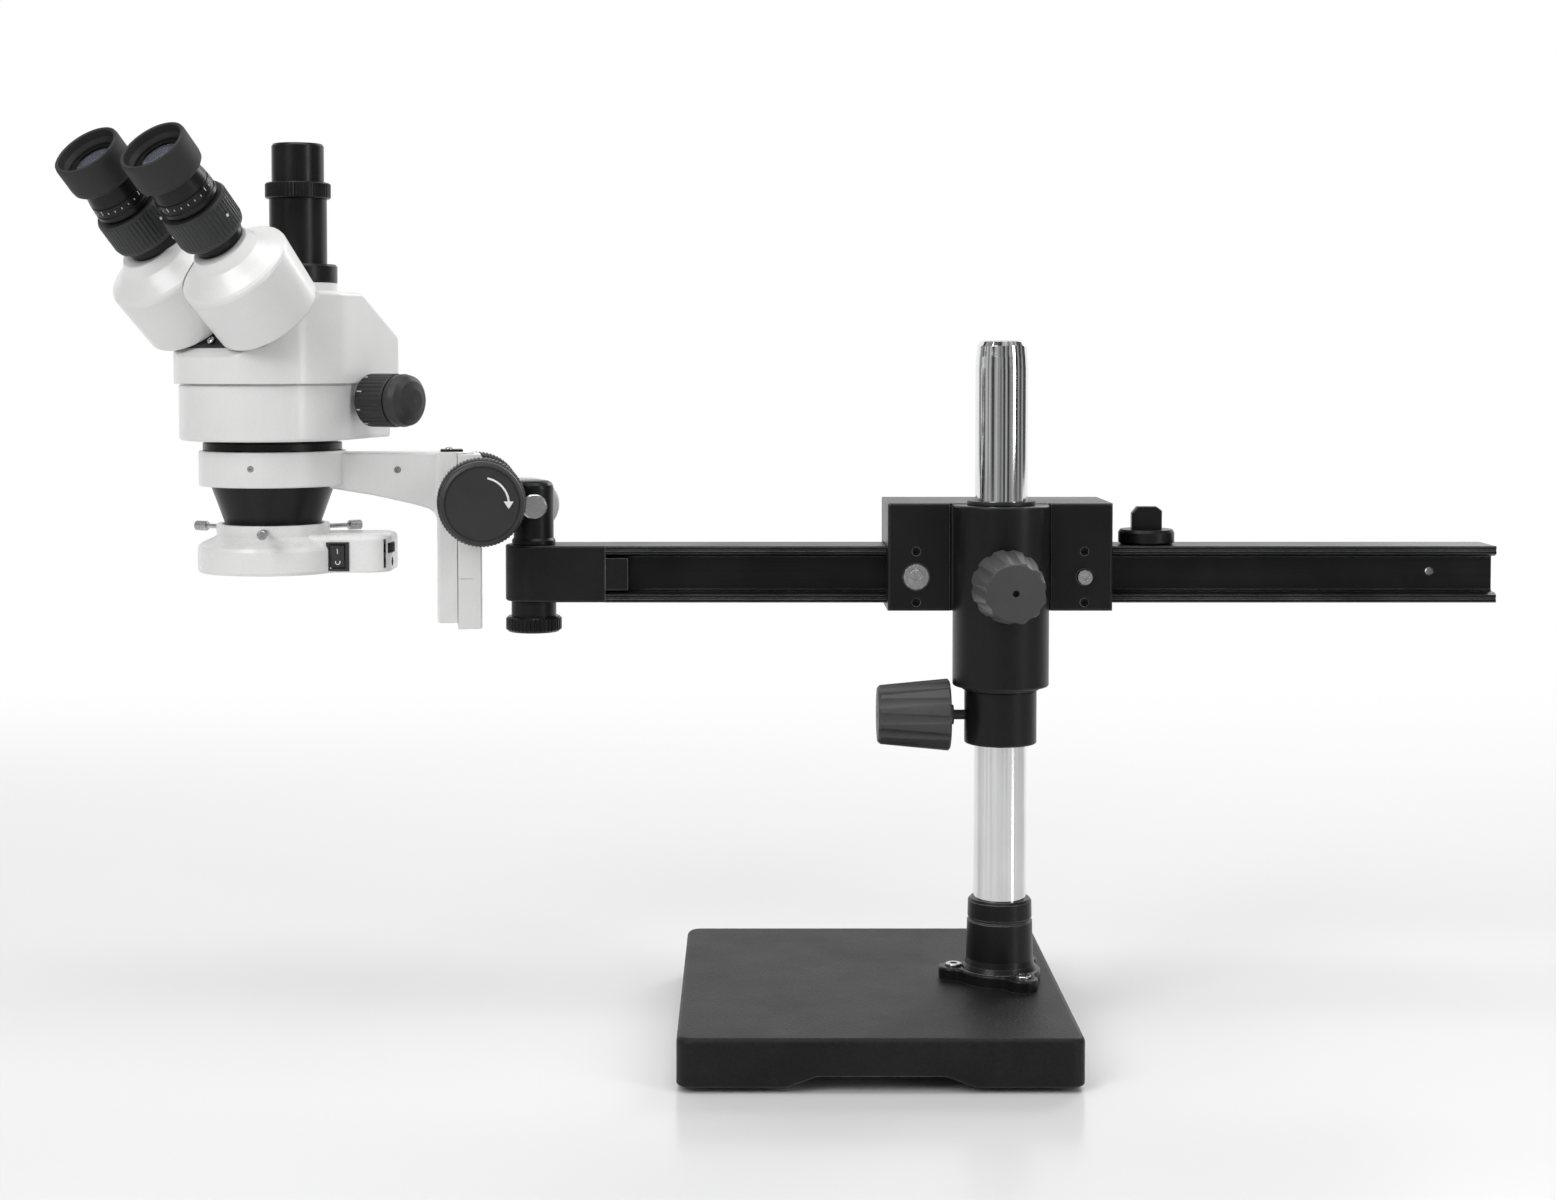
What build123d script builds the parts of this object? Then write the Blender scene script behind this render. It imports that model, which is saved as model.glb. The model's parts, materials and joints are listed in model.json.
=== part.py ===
from build123d import *
import os
from math import cos, sin, pi, radians, sqrt, degrees, atan2

# Trinocular zoom stereo microscope on a ball-bearing boom stand.
# Millimetres. Origin on the table under the centre of the base plate,
# +X towards the free end of the boom, +Y towards the back, +Z up.

os.makedirs("parts", exist_ok=True)

# ------------------------------------------------ driving dimensions
BASE_W, BASE_D, BASE_TOP = 230.0, 254.0, 30.6      # base plate, X x Y, top height
FOOT_H = 4.0
PIL_X, PIL_R, PIL_TOP = 79.5, 16.0, 422.0          # 32 mm pillar
SOCK_TOP = 81.4
COL_Z0, COL_Z1, COL_R = 176.5, 209.3, 22.0         # safety collar
HUB_R, HUB_Z0, HUB_Z1 = 29.3, 211.6, 322.0
BLK_X0, BLK_X1 = 10.8, 148.2                       # bearing housing
BLK_Y0, BLK_YC, BLK_Y1 = 3.0, 58.0, 72.0
BLK_Z0, BLK_Z1 = 256.6, 322.5
BOOM_Y, BOOM_W, BOOM_H, BOOM_Z = 37.0, 35.0, 35.0, 277.5
BOOM_X0, BOOM_X1 = -163.0, 388.0
CHAN_D, CHAN_H = 10.5, 22.6                        # side channels for the bearings
ROLL_R, ROLL_W, AXLE_R = 11.0, 7.0, 4.0
ROLL_DX = 51.4
STEM_X, STEM_R, STEM_TOP = -208.8, 12.5, 335.0
PIN_Z, PIN_R = 319.0, 7.94                         # 5/8 inch pin
PSI = 8.0                                          # arm swing about the stem
FOC_X, FOC_Z = -33.0, 323.0                        # focus shaft, arm frame
PITCH_R, N_TEETH = 5.0, 14
RING_X, RING_Y = -161.0, 20.0                      # holder ring centre, arm frame
MOUNT_R, RING_R = 38.05, 45.2                      # 76 mm head mount
RING_Z0, RING_Z1 = 332.3, 354.0
HEAD_TURN = 49.5                                   # head turned in the ring
DRUM_R, DRUM_L, DRUM_H, HOUSE_H = 34.5, 30.0, 40.0, 55.0
DECK_C = 472.6                                     # housing plane: z - x
PIVOT_DROP = 18.0                                  # swivel axis below drum centre
EYE_IN, EYE_UP, EYE_TOP = 2.75, 3.5, 129.6
ZOOM_X, ZOOM_Z, ZOOM_Y = 33.5, 385.0, 51.6
PORT_X = 24.0

E = Location((STEM_X, BOOM_Y, 0), (0, 0, PSI))
H = E * Location((RING_X, RING_Y, 0), (0, 0, HEAD_TURN))
HC = H.position
L = Location((HC.X, HC.Y, 0))

MIN = (Align.CENTER, Align.CENTER, Align.MIN)


# ------------------------------------------------ helpers
def cyl(r, z0, z1, x=0.0, y=0.0):
    return Pos(x, y, z0) * Cylinder(r, z1 - z0, align=MIN)


def cyl_y(r, y0, y1, x, z):
    """Cylinder along Y from y0 to y1."""
    return Plane(origin=(x, y0, z), x_dir=(1, 0, 0), z_dir=(0, 1, 0)).location * Cylinder(r, y1 - y0, align=MIN)


def cyl_x(r, x0, x1, y, z):
    return Plane(origin=(x0, y, z), x_dir=(0, 1, 0), z_dir=(1, 0, 0)).location * Cylinder(r, x1 - x0, align=MIN)


def box(x0, x1, y0, y1, z0, z1):
    return Pos(x0, y0, z0) * Box(x1 - x0, y1 - y0, z1 - z0, align=(Align.MIN, Align.MIN, Align.MIN))


def rev(pts):
    """Revolve (radius, height) points about Z."""
    return revolve(Plane.XZ * make_face(Polyline(*pts, close=True)), Axis.Z)


def slab(pts, z0, z1):
    return Pos(0, 0, z0) * extrude(make_face(Polyline(*pts, close=True)), z1 - z0)


def profile_y(pts, y0, y1):
    """Extrude (x, z) points along Y from y0 to y1."""
    f = Plane(origin=(0, y0, 0), x_dir=(1, 0, 0), z_dir=(0, -1, 0)) * make_face(Polyline(*pts, close=True))
    return extrude(f, y1 - y0, dir=(0, 1, 0))


def ribbed(r, n, depth, share=0.5):
    """Closed outline of a grip with n ribs."""
    pts = []
    for i in range(n):
        a0 = 2 * pi * i / n
        w = 2 * pi / n
        for k, rr in ((0.0, r - depth), (0.5 * (1 - share), r - depth), (0.5 * (1 - share) + 0.12, r), (0.5 * (1 + share) - 0.12 + 0.12, r)):
            a = a0 + w * k
            pts.append((rr * cos(a), rr * sin(a)))
    return make_face(Polyline(*pts, close=True))


def soften(part, edges, *sizes):
    """Fillet with the first size that the solid accepts."""
    for s in sizes:
        try:
            out = fillet(edges, s)
            if out.is_valid and out.volume > 0:
                return out
        except Exception:
            pass
    return part


def save(name, shape):
    solids = [s for s in shape.solids()]
    if len(solids) == 1:
        shape = solids[0]
    else:
        shape = Compound(children=solids)
    shape.label = name
    export_step(shape, "parts/%s.step" % name)


def cap_screw(r, h, rs, ls):
    """Socket head cap screw, head up from z 0, shank down."""
    s = cyl(r, 0, h) + cyl(rs, -ls, 0.0)
    hexa = extrude(RegularPolygon(r * 0.5, 6), h * 0.6)
    s -= Pos(0, 0, h * 0.45) * hexa
    return chamfer(s.edges().filter_by(GeomType.CIRCLE).group_by(Axis.Z)[-1], 0.4)


def lobed_knob(stud_r, stud_to):
    """Tapered clamping knob, big end at z 0, small end at z 44, stud below."""
    big, tall = 22.0, 44.0
    f = Circle(big)
    for i in range(12):
        a = 2 * pi * i / 12
        f -= Pos((big + 1.6) * cos(a), (big + 1.6) * sin(a)) * Circle(2.9)
    k = extrude(f, tall, taper=5.4)
    k = k & rev([(0, 0), (20.6, 0), (22.2, 1.4), (17.95, 42.4), (16.4, 44), (0, 44)])
    k -= cyl(2.0, tall - 5, tall + 1)
    k += cyl(6.0, -2.5, 0.0)
    k += cyl(stud_r, -stud_to, -2.5)
    return k


# ------------------------------------------------ stand
def make_stand():
    w, d = BASE_W / 2, BASE_D / 2
    b = box(-w, w, -d, d, 3.0, BASE_TOP)
    b = soften(b, b.edges().filter_by(Axis.Z), 9.0)
    b = soften(b, b.faces().sort_by(Axis.Z)[-1].edges(), 3.5, 2.5)
    b = soften(b, b.faces().sort_by(Axis.Z)[0].edges(), 1.2, 0.8)
    cav = box(-w + 9, w - 9, -d + 9, d - 9, 2.0, 14.0)
    cav = soften(cav, cav.edges().filter_by(Axis.Z), 8.0)
    b -= cav
    # ribs and corner pads left inside the casting
    ribs = box(-w + 9, w - 9, -3, 3, 9.0, 14.0) + box(-20, -14, -d + 9, d - 9, 9.0, 14.0)
    b += ribs & cav
    for sx in (-1, 1):
        for sy in (-1, 1):
            b += cyl(14.0, 3.0, 14.5, sx * (w - 20), sy * (d - 20))
            b -= cyl(9.3, 2.5, 5.5, sx * (w - 20), sy * (d - 20))
    b -= cyl(15.0, 2.0, 12.0, PIL_X, 0)
    b += cyl(24.0, 12.0, 21.5, PIL_X, 0)
    # long low arches in the skirt, front and back
    arch = profile_y([(-54, 2.0), (-54, 3.0), (-36, 9.6), (36, 9.6), (54, 3.0), (54, 2.0)], -d - 5, d + 5)
    b -= arch
    b -= cyl(5.2, 2, 31, PIL_X, 0)
    sr = 28.0
    ang = (174.0, 294.0, 54.0)
    for a in ang:
        b -= cyl(2.6, 20.0, 31.0, PIL_X + sr * cos(radians(a)), sr * sin(radians(a)))
    save("base_plate", b)

    feet = []
    for sx in (-1, 1):
        for sy in (-1, 1):
            f = rev([(0, 0), (7.4, 0), (9.0, 1.6), (9.0, 5.5), (0, 5.5)])
            feet.append(Pos(sx * (w - 20), sy * (d - 20), 0) * f)
    save("base_feet", Compound(children=feet))

    t = BASE_TOP
    s = cyl(25.0, t, t + 7.4)
    for a in ang:
        s += cyl(9.2, t, t + 7.4, sr * cos(radians(a)), sr * sin(radians(a)))
    s = soften(s, [e for e in s.edges().filter_by(Axis.Z)], 7.0, 4.0, 2.0)
    s = soften(s, s.faces().sort_by(Axis.Z)[-1].edges(), 1.4, 0.8)
    s += rev([(15, t + 7.4), (23.0, t + 7.4), (21.2, t + 10.4), (20.4, t + 14), (19.9, 67.5), (19.0, 68.2),
              (19.0, 69.4), (19.6, 70.0), (19.4, 79.8), (18.0, SOCK_TOP), (15, SOCK_TOP)])
    s -= cyl(PIL_R + 0.05, t - 1, 90)
    for a in ang:
        s -= cyl(2.6, t - 1, t + 9, sr * cos(radians(a)), sr * sin(radians(a)))
        s -= cyl(5.4, t + 4.2, t + 12, sr * cos(radians(a)), sr * sin(radians(a)))
    save("pillar_socket", Pos(PIL_X, 0, 0) * s)
    sc = []
    for a in ang:
        sc.append(Pos(PIL_X + sr * cos(radians(a)), sr * sin(radians(a)), t + 4.2) * cap_screw(4.9, 4.8, 2.55, 14.0))
    save("socket_screws", Compound(children=sc))

    p = rev([(0, t), (PIL_R, t), (PIL_R, 405), (15.6, 412), (14.9, 418.5), (13.4, 421.2), (11.6, PIL_TOP), (0, PIL_TOP)])
    p -= cyl(12.0, 66, 404)
    p -= cyl(4.25, t - 1, 56)
    save("pillar", Pos(PIL_X, 0, 0) * p)
    bolt = cyl(4.2, 12.0, 54.0) + Pos(0, 0, 4.6) * extrude(RegularPolygon(8.0, 6), 5.4) + cyl(12.0, 10.0, 11.9)
    bolt = bolt + cyl(4.2, 9.8, 12.5)
    save("pillar_bolt", Pos(PIL_X, 0, 0) * bolt)

    c = cyl(COL_R, COL_Z0, COL_Z1)
    c = soften(c, c.edges().filter_by(GeomType.CIRCLE), 1.0)
    c -= cyl(PIL_R + 0.06, 170, 215)
    c -= cyl_x(3.07, -30, 0, 0, 193.5)
    save("safety_collar", Pos(PIL_X, 0, 0) * c)
    k = lobed_knob(3.0, 14.7)
    save("collar_knob", Plane(origin=(PIL_X - 31.2, 0, 193.5), x_dir=(0, 1, 0), z_dir=(-1, 0, 0)).location * k)


# ------------------------------------------------ bearing housing
def make_carrier():
    bush = cyl(17.95, 209.6, 324.4) + cyl(23.5, 209.6, 211.3) + cyl(20.6, 322.4, 324.4)
    bush = bush - cyl(PIL_R + 0.05, 200, 330)
    save("pillar_bush", Pos(PIL_X, 0, 0) * bush)

    b = box(BLK_X0, BLK_X1, BLK_Y0, BLK_YC, BLK_Z0, BLK_Z1)
    front = [e for e in b.edges() if abs(e.center().Y - BLK_Y0) < 0.01]
    b = soften(b, front, 1.6, 1.0)
    hub = cyl(HUB_R, HUB_Z0, HUB_Z1, PIL_X, 0)
    hub = soften(hub, hub.edges().filter_by(GeomType.CIRCLE), 1.2)
    b += hub
    # narrow reliefs between the hub and the two pads
    for sx in (-1, 1):
        b -= box(PIL_X + sx * 30.1 - 0.8, PIL_X + sx * 30.1 + 0.8, 2.0, 6.0, 250, 330)
    b -= cyl(18.02, 200, 330, PIL_X, 0)
    b -= cyl(20.8, 321.9, 330, PIL_X, 0)
    hy, hz = BOOM_W / 2 + 0.6, BOOM_H / 2 + 0.6
    b -= box(0, 160, BOOM_Y - hy, BLK_YC + 1, BOOM_Z - hz, BOOM_Z + hz)
    for sx in (-1, 1):
        x = PIL_X + sx * ROLL_DX
        b -= cyl_y(AXLE_R + 0.02, 0, 20, x, BOOM_Z)
        b -= cyl_y(8.2 if sx < 0 else 5.0, 0, 4.2, x, BOOM_Z)
        for dz in (-15.6, 15.6):
            b -= cyl_y(2.5, 0, 14, x, BOOM_Z + dz)
    b -= cyl_y(3.07, -40, -10, PIL_X, 275.7)
    for x in (20.0, 139.0):
        for z in (312.0, 301.0):
            b -= cyl_y(2.6, 44, 60, x, z)
    save("carrier_block", b)

    c = box(BLK_X0, BLK_X1, BLK_YC, BLK_Y1, BLK_Z0, BLK_Z1)
    back = [e for e in c.edges() if abs(e.center().Y - BLK_Y1) < 0.01]
    c = soften(c, back, 1.6, 1.0)
    for sx in (-1, 1):
        x = PIL_X + sx * ROLL_DX
        c -= cyl_y(AXLE_R + 0.02, 50, 80, x, BOOM_Z)
        c -= cyl_y(5.0, 70.8, 80, x, BOOM_Z)
    for x in (20.0, 139.0):
        for z in (312.0, 301.0):
            c -= cyl_y(2.6, 50, 80, x, z)
            c -= cyl_y(4.6, 68, 80, x, z)
    save("carrier_back_cover", c)

    ax = []
    y0 = BOOM_Y - BOOM_W / 2
    y1 = BOOM_Y + BOOM_W / 2
    for sx in (-1, 1):
        x = PIL_X + sx * ROLL_DX
        a = cyl(AXLE_R, 0, y0 + 9.0 - 4.2)
        a += cyl(4.35, -5.0, 0.0)
        if sx < 0:
            a += cyl(7.7, -1.6, 0.0)
        a -= Pos(0, 0, -5.2) * extrude(RegularPolygon(2.4, 6), 3.0)
        ax.append(Plane(origin=(x, 4.2, BOOM_Z), x_dir=(1, 0, 0), z_dir=(0, 1, 0)).location * a)
        r = cyl(AXLE_R, 0, 70.8 - (y1 - 9.0)) + cyl(4.6, -3.6, 0.0)
        r -= Pos(0, 0, -3.8) * extrude(RegularPolygon(2.4, 6), 2.4)
        ax.append(Plane(origin=(x, 70.8, BOOM_Z), x_dir=(1, 0, 0), z_dir=(0, -1, 0)).location * r)
    save("roller_axles", Compound(children=ax))

    sc = []
    for sx in (-1, 1):
        for dz in (-15.6, 15.6):
            g = cyl(2.45, 0, 7.0) - Pos(0, 0, -0.1) * extrude(RegularPolygon(1.4, 6), 2.4)
            sc.append(Plane(origin=(PIL_X + sx * ROLL_DX, 5.2, BOOM_Z + dz), x_dir=(1, 0, 0), z_dir=(0, 1, 0)).location * g)
    for x in (20.0, 139.0):
        for z in (312.0, 301.0):
            s = cap_screw(4.3, 3.9, 2.5, 23.0)
            sc.append(Plane(origin=(x, 68.0, z), x_dir=(1, 0, 0), z_dir=(0, 1, 0)).location * s)
    save("carrier_screws", Compound(children=sc))

    k = lobed_knob(3.0, 19.0)
    save("carrier_knob", Plane(origin=(PIL_X, -37.4, 275.7), x_dir=(1, 0, 0), z_dir=(0, -1, 0)).location * k)

    for name, sx, yc in (("roller_front_left", -1, y0 + 5.0), ("roller_front_right", 1, y0 + 5.0),
                         ("roller_back_left", -1, y1 - 5.0), ("roller_back_right", 1, y1 - 5.0)):
        r = rev([(AXLE_R + 0.05, -3.5), (6.2, -3.5), (6.2, -3.1), (9.2, -3.1), (9.2, -3.5), (10.6, -3.5), (ROLL_R, -3.1),
                 (ROLL_R, 3.1), (10.6, 3.5), (9.2, 3.5), (9.2, 3.1), (6.2, 3.1), (6.2, 3.5), (AXLE_R + 0.05, 3.5)])
        save(name, Plane(origin=(PIL_X + sx * ROLL_DX, yc, BOOM_Z), x_dir=(1, 0, 0), z_dir=(0, 1, 0)).location * r)


# ------------------------------------------------ boom
def make_boom():
    w, h, ch, cd = BOOM_W / 2, BOOM_H / 2, CHAN_H / 2, CHAN_D
    half = [(w, h - 0.6), (w, h - 2.0), (w - 0.7, h - 2.3), (w - 0.7, h - 2.9), (w, h - 3.2), (w, ch + 1.4),
            (w - 3.4, ch), (w - cd + 1.2, ch), (w - cd, ch - 1.2)]
    right = [(w - 0.6, h)] + half + [(y, -z) for y, z in reversed(half)] + [(w - 0.6, -h)]
    pts = right + [(-y, z) for y, z in reversed(right)]
    f = Plane(origin=(BOOM_X0, BOOM_Y, BOOM_Z), x_dir=(0, 1, 0), z_dir=(1, 0, 0)) * make_face(Polyline(*pts, close=True))
    b = extrude(f, BOOM_X1 - BOOM_X0, dir=(1, 0, 0))
    b -= cyl_y(2.5, 20, 55, 349.5, 278.6)
    b -= cyl(4.06, 281, 300, 174.3, BOOM_Y)
    save("boom_bar", b)

    r = 17.5
    e = cyl(r, BOOM_Z - h, BOOM_Z + h, STEM_X, BOOM_Y) + box(STEM_X, BOOM_X0, BOOM_Y - r, BOOM_Y + r, BOOM_Z - h, BOOM_Z + h)
    e = soften(e, [x for x in e.edges() if x.center().X < BOOM_X0 - 1 and not x.is_interior], 1.4, 0.8)
    for sy in (-1, 1):
        y0, y1 = sorted((BOOM_Y + sy * (w - cd + 0.1), BOOM_Y + sy * (w - 1.2)))
        e += box(BOOM_X0 - 2, BOOM_X0 + 14, y0, y1, BOOM_Z - ch + 1.4, BOOM_Z + ch - 1.4)
    e -= cyl(STEM_R + 0.06, 250, 300, STEM_X, BOOM_Y)
    save("boom_end_block", e)

    k = rev([(0, 295.3), (16.0, 295.3), (17.4, 296.6), (17.4, 302.6), (16.2, 304.4), (0, 304.4)])
    tab = profile_y([(-9.4, 303.8), (-9.4, 314.5), (-6.0, 318.6), (6.0, 318.6), (9.4, 316.0), (9.4, 303.8)], -3.6, 3.6)
    tab = soften(tab, tab.edges(), 1.2, 0.8)
    k += tab
    k += cyl(4.0, 283.0, 295.5)
    save("boom_stop_knob", Pos(174.3, BOOM_Y, 0) * k)


# ------------------------------------------------ stem and focusing arm
def make_arm():
    s = rev([(0, 262.0), (STEM_R - 1, 262.0), (STEM_R, 263.0), (STEM_R, 295.3), (13.6, 295.3), (13.6, 297.6), (STEM_R, 299.2),
             (STEM_R, STEM_TOP - 5), (12.1, STEM_TOP - 3.0), (11.0, STEM_TOP - 1.4), (9.4, STEM_TOP - 0.4), (7.5, STEM_TOP), (0, STEM_TOP)])
    s -= cyl_y(PIN_R + 0.06, -20, 20, 0, PIN_Z)
    s -= cyl(5.07, 255, 300)
    save("tilt_stem", E * s)
    k = Pos(0, 0, 240.5) * extrude(ribbed(17.4, 40, 0.7), 9.6)
    k = k & rev([(0, 240.5), (15.6, 240.5), (17.5, 242.2), (17.5, 248.6), (16.0, 250.1), (0, 250.1)])
    k += cyl(14.0, 250.0, 259.5) + cyl(5.0, 259.0, 296.0)
    k -= cyl(5.5, 238, 241.6)
    save("stem_knob", E * k)

    pin = cyl_y(PIN_R, -12.9, 32.0, 0, PIN_Z)
    pin = chamfer(pin.edges().filter_by(GeomType.CIRCLE), 0.8)
    save("tilt_pin", E * pin)

    # fixed slide, shaft sleeve and pin boss
    b = box(-47.0, -32.0, 2.0, 38.0, 242.0, 351.0)
    b = soften(b, [e for e in b.edges() if e.center().X > -33], 1.6, 1.0)
    b += cyl_y(13.8, -12.6, 52.6, FOC_X, FOC_Z)
    lug = profile_y([(-36, 304.0), (0, 302.0), (0, 336.0), (-36, 338.0)], 14.2, 38.0) + cyl_y(17.0, 14.2, 38.0, 0, PIN_Z)
    lug = soften(lug, [e for e in lug.edges() if abs(e.center().Y - 38) < 0.01 or abs(e.center().Y - 14.2) < 0.01], 1.2, 0.6)
    b += lug
    b -= cyl_y(4.06, -20, 60, FOC_X, FOC_Z)
    b -= cyl_y(6.6, 9.0, 31.0, FOC_X, FOC_Z)
    tongue = slab([(-48, 12.4), (-41.6, 9.4), (-41.6, 13.4), (-36.4, 13.4), (-36.4, 26.6), (-41.6, 26.6), (-41.6, 30.6), (-48, 27.6)], 230, 360)
    b -= tongue
    b -= cyl_y(PIN_R + 0.01, 10.0, 32.05, 0, PIN_Z)
    # short index line on the near flank
    b -= box(-46.0, -38.0, 1.0, 2.4, 273.0, 273.6)
    save("focus_body", E * b)

    # moving slide, arm and holder ring
    a = box(-59.7, -47.35, 2.0, 38.0, 246.0, 352.4)
    a = soften(a, [e for e in a.edges() if e.center().X < -58], 1.8, 1.0)
    pts = [(-59.0, 352.4), (-131, 352.4), (-131, 331.4), (-98.5, 325.8), (-74.7, 320.3), (-64.5, 317.2), (-61.2, 314.4), (-59.0, 309.0)]
    web = profile_y(pts, 5.5, 34.5)
    web = soften(web, [e for e in web.edges() if e.center().X < -59.5 and not (abs(e.center().X + 131) < 0.1)], 1.8, 1.2, 0.8)
    a += web
    ring = cyl(RING_R, RING_Z0, RING_Z1, RING_X, RING_Y)
    ring = soften(ring, ring.edges().filter_by(GeomType.CIRCLE), 1.2)
    a += ring
    a -= cyl(MOUNT_R, 320, 360, RING_X, RING_Y)
    a += slab([(-47.6, 12.6 + 0.12), (-47.2, 12.74), (-41.9, 10.2), (-41.9, 29.8), (-47.2, 27.26), (-47.6, 27.28)], 250, 349)
    g = radians(-95.5 - PSI)
    gx, gy = cos(g), sin(g)
    hole = Plane(origin=(RING_X + 36 * gx, RING_Y + 36 * gy, 344.0), z_dir=(gx, gy, 0)).location * Cylinder(2.05, 12, align=MIN)
    a -= hole
    a -= cyl_y(2.15, 4.0, 12.0, -84.0, 341.7)
    save("focus_arm", E * a)

    p = 2 * pi * PITCH_R / N_TEETH
    n = int(88 / p / 2)
    tip, root = FOC_X - 4.55, FOC_X - 5.9
    pts = [(-41.8, FOC_Z - (n + 0.5) * p), (-41.8, FOC_Z + (n + 0.5) * p)]
    for i in range(n, -n - 1, -1):
        zc = FOC_Z + i * p
        # gap centred on zc, teeth half a pitch either side
        pts += [(tip, zc + 0.5 * p - (0.0 if i == n else -0.0)), (tip, zc + 0.5 * p - 0.28), (root, zc + 0.5 * p - 0.48),
                (root, zc - 0.5 * p + 0.48), (tip, zc - 0.5 * p + 0.28)]
    pts.append((tip, FOC_Z - (n + 0.5) * p))
    rk = profile_y(clean(pts), 14.0, 26.0)
    rk = rk & box(-60, -20, 0, 40, 250.5, 348.5)
    save("focus_rack", E * rk)

    sc = [Plane(origin=(RING_X + 38.8 * gx, RING_Y + 38.8 * gy, 344.0), z_dir=(gx, gy, 0)).location
          * (Cylinder(2.0, 6.0, align=MIN) - Pos(0, 0, 4.0) * extrude(RegularPolygon(1.15, 6), 3.0)),
          Plane(origin=(-84.0, 11.9, 341.7), x_dir=(1, 0, 0), z_dir=(0, -1, 0)).location
          * (Cylinder(2.1, 6.2, align=MIN) - Pos(0, 0, 4.6) * extrude(RegularPolygon(1.15, 6), 3.0))]
    save("arm_set_screws", E * Compound(children=sc))

    # pinion shaft
    pts = []
    for i in range(N_TEETH):
        a0 = 2 * pi * i / N_TEETH + pi
        for rr, wd in ((4.1, -0.52), (5.45, -0.3), (5.45, 0.3), (4.1, 0.52)):
            da = atan2(wd, rr)
            pts.append((rr * cos(a0 + da), rr * sin(a0 + da)))
    gear = extrude(make_face(Polyline(*pts, close=True)), 15.0)
    sh = cyl(4.0, 0, 128.6) + Pos(0, 0, 57.0) * gear
    sh = Plane(origin=(FOC_X, -44.3, FOC_Z), x_dir=(1, 0, 0), z_dir=(0, 1, 0)).location * sh
    save("focus_shaft", E * sh)

    def focus_knob(face):
        k = extrude(ribbed(27.2, 72, 0.6), 20.0)
        k = k & rev([(0, 0), (25.6, 0), (27.4, 1.6), (27.4, 17.8), (26.0, 19.6), (0, 19.6)])
        k += rev([(0, 19.0), (24.4, 19.0), (24.4, 20.6), (25.7, 21.6), (25.7, 31.0), (25.0, 32.4), (23.4, 33.2), (22.5, 33.2), (22.5, 31.2), (0, 31.2)])
        k -= cyl(4.02, -1, 40)
        if not face:
            k += cyl(22.0, 30.8, 32.4) - cyl(4.02, 29, 40)
        return k

    kn = Plane(origin=(FOC_X, -13.7, FOC_Z), x_dir=(1, 0, 0), z_dir=(0, -1, 0)).location * focus_knob(True)
    save("focus_knob_near", E * kn)
    kf = Plane(origin=(FOC_X, 53.4, FOC_Z), x_dir=(1, 0, 0), z_dir=(0, 1, 0)).location * focus_knob(False)
    save("focus_knob_far", E * kf)
    dial = cyl(22.3, 31.3, 32.7)
    # raised turning arrow
    arc = extrude(Circle(16.6) - Circle(15.4), 0.4)
    sector = extrude(make_face(Polyline((0, 0), (30, 2), (30, 30), (6, 30), close=True)), 0.4)
    arrow = (arc & sector) + extrude(Pos(15.9, 0.2) * make_face(Polyline((-3.0, 1.4), (3.0, 1.4), (0, -3.2), close=True)), 0.4)
    dial += Pos(0, 0, 32.65) * arrow
    save("tension_dial", E * (Plane(origin=(FOC_X, -13.7, FOC_Z), x_dir=(1, 0, 0), z_dir=(0, -1, 0)).location * dial))


def clean(pts):
    out = []
    for q in pts:
        if not out or sqrt((q[0] - out[-1][0]) ** 2 + (q[1] - out[-1][1]) ** 2) > 1e-3:
            out.append(q)
    return out


# ------------------------------------------------ head
def plan(r, cx, tx, tw, rc=8.0):
    """Head outline: round front of radius r at (cx, 0), tapering to a flat back."""
    d = tx - cx
    dist = sqrt(d * d + tw * tw)
    a = atan2(tw, d) + math_acos(r / dist)
    p = (cx + r * cos(a), r * sin(a))
    f = make_face(Polyline((p[0], p[1]), (tx, tw), (tx, -tw), (p[0], -p[1]), close=True))
    f = fillet(f.vertices().sort_by(Axis.X)[-2:], rc)
    return f + Pos(cx, 0) * Circle(r)


def math_acos(v):
    return atan2(sqrt(1 - v * v), v)


def upper_profile(o):
    """Side outline of the upper shell, o = inset."""
    q = o * 0.41
    return [(-62 + o, 395.6), (-62 + o, 412.0 - o), (-56.4 + q, 412.0 - o), (-16.4 + q, 452.0 - o), (30.0 - q, 452.0 - o),
            (85.2 - o, 423.6 - o), (88 - o, 421.8 - o), (88 - o, 395.6)]


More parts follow.
